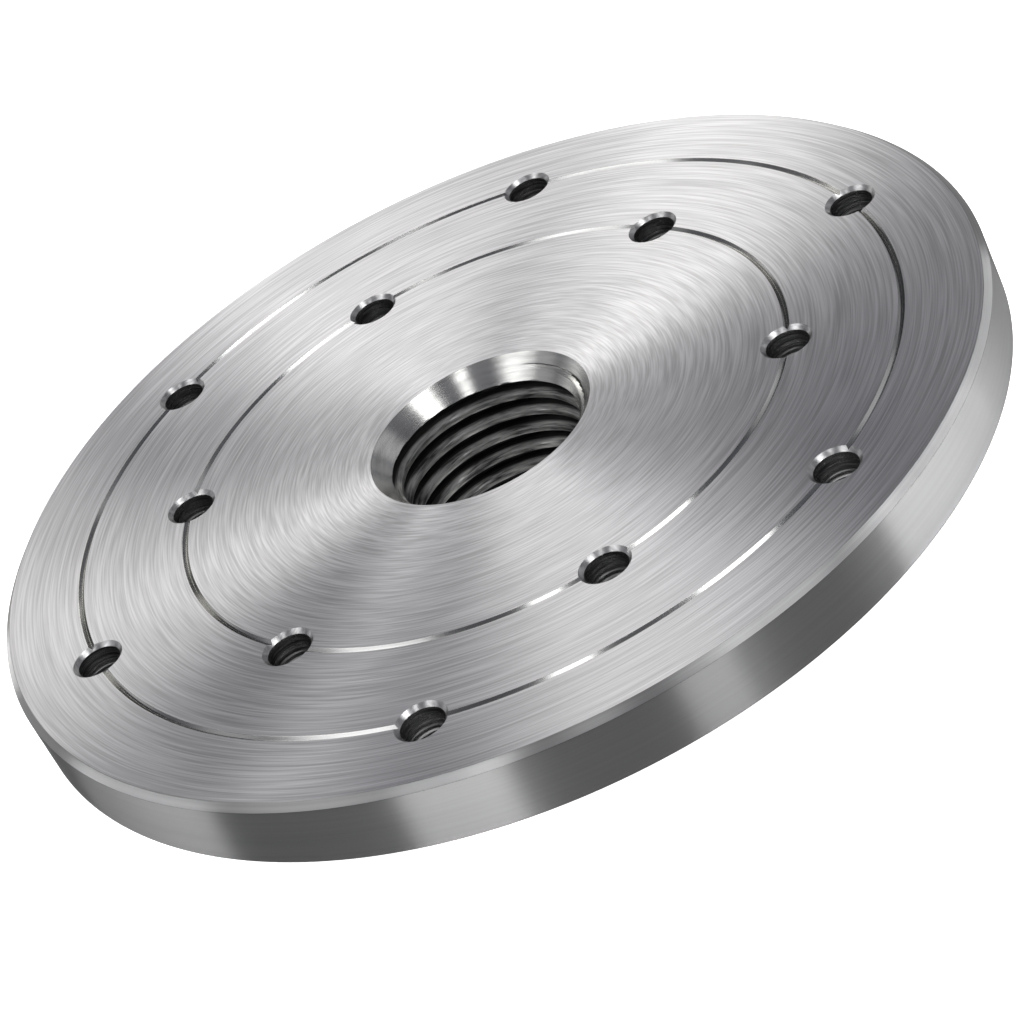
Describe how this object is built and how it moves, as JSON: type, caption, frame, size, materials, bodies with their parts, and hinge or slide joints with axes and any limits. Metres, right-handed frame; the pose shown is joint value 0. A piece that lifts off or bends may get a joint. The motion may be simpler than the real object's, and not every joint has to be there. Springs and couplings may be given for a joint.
{
  "type": "lathe faceplate",
  "caption": "Round flat steel faceplate for a wood lathe, with a threaded hub behind, two scribed circles of screw holes, a coned bore mouth and a bevelled edge.",
  "frame": {"origin": "centre of the hub's end face, on which the plate stands, so also the bottom centre of its box", "axes": "+Z along the turning axis and out of the work face; +X through a hole of the outer circle; the wrench flats face +Y and -Y"},
  "size_m": [0.1524, 0.1524, 0.0302],
  "materials": {
    "turned_steel": "turned satin face with fine rings, polished rim and bevel"
  },
  "bodies": {
    "root": {"faceplate": "turned_steel"}
  },
  "joints": []
}
